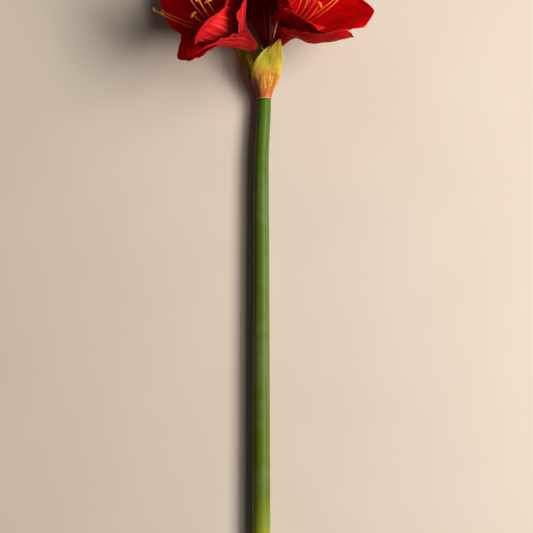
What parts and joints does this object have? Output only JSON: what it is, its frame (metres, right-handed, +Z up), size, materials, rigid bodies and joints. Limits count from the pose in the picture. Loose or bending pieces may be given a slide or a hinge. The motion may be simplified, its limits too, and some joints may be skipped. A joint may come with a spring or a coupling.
{
  "type": "amaryllis stem",
  "caption": "Cut amaryllis stem lying down: a long hollow green scape, a papery spathe at its head, and wide red trumpet blooms with curved orange stamens.",
  "frame": {"origin": "middle of the lying flower's footprint, on the surface that it lies on", "axes": "+Y along the scape towards the blooms, +X to the right seen from above with the blooms up, +Z up"},
  "size_m": [0.2376, 0.6662, 0.1456],
  "materials": {
    "scape_green": "smooth waxy green plant skin with a pale bloom, satin",
    "pedicel_green": "smooth green plant skin, satin",
    "spathe": "papery bract, yellow-green above and brown-orange with long fibres at its base, matte",
    "petal_red": "deep red velvety petal, lighter coral on its outer face, satin",
    "stamen_orange": "orange filament, rose at its root, with a matte yellow-orange pollen sac",
    "pistil_rose": "rose-red style with a paler stigma, satin"
  },
  "bodies": {
    "root": {"scape": "scape_green", "spathe_front": "spathe", "spathe_rear": "spathe", "pedicel_left": "pedicel_green", "pedicel_right": "pedicel_green", "pedicel_centre": "pedicel_green", "perianth_left": "petal_red", "perianth_right": "petal_red", "perianth_centre": "petal_red", "stamens_left": "stamen_orange", "stamens_right": "stamen_orange", "stamens_centre": "stamen_orange", "pistil_left": "pistil_rose", "pistil_right": "pistil_rose", "pistil_centre": "pistil_rose"}
  },
  "joints": []
}
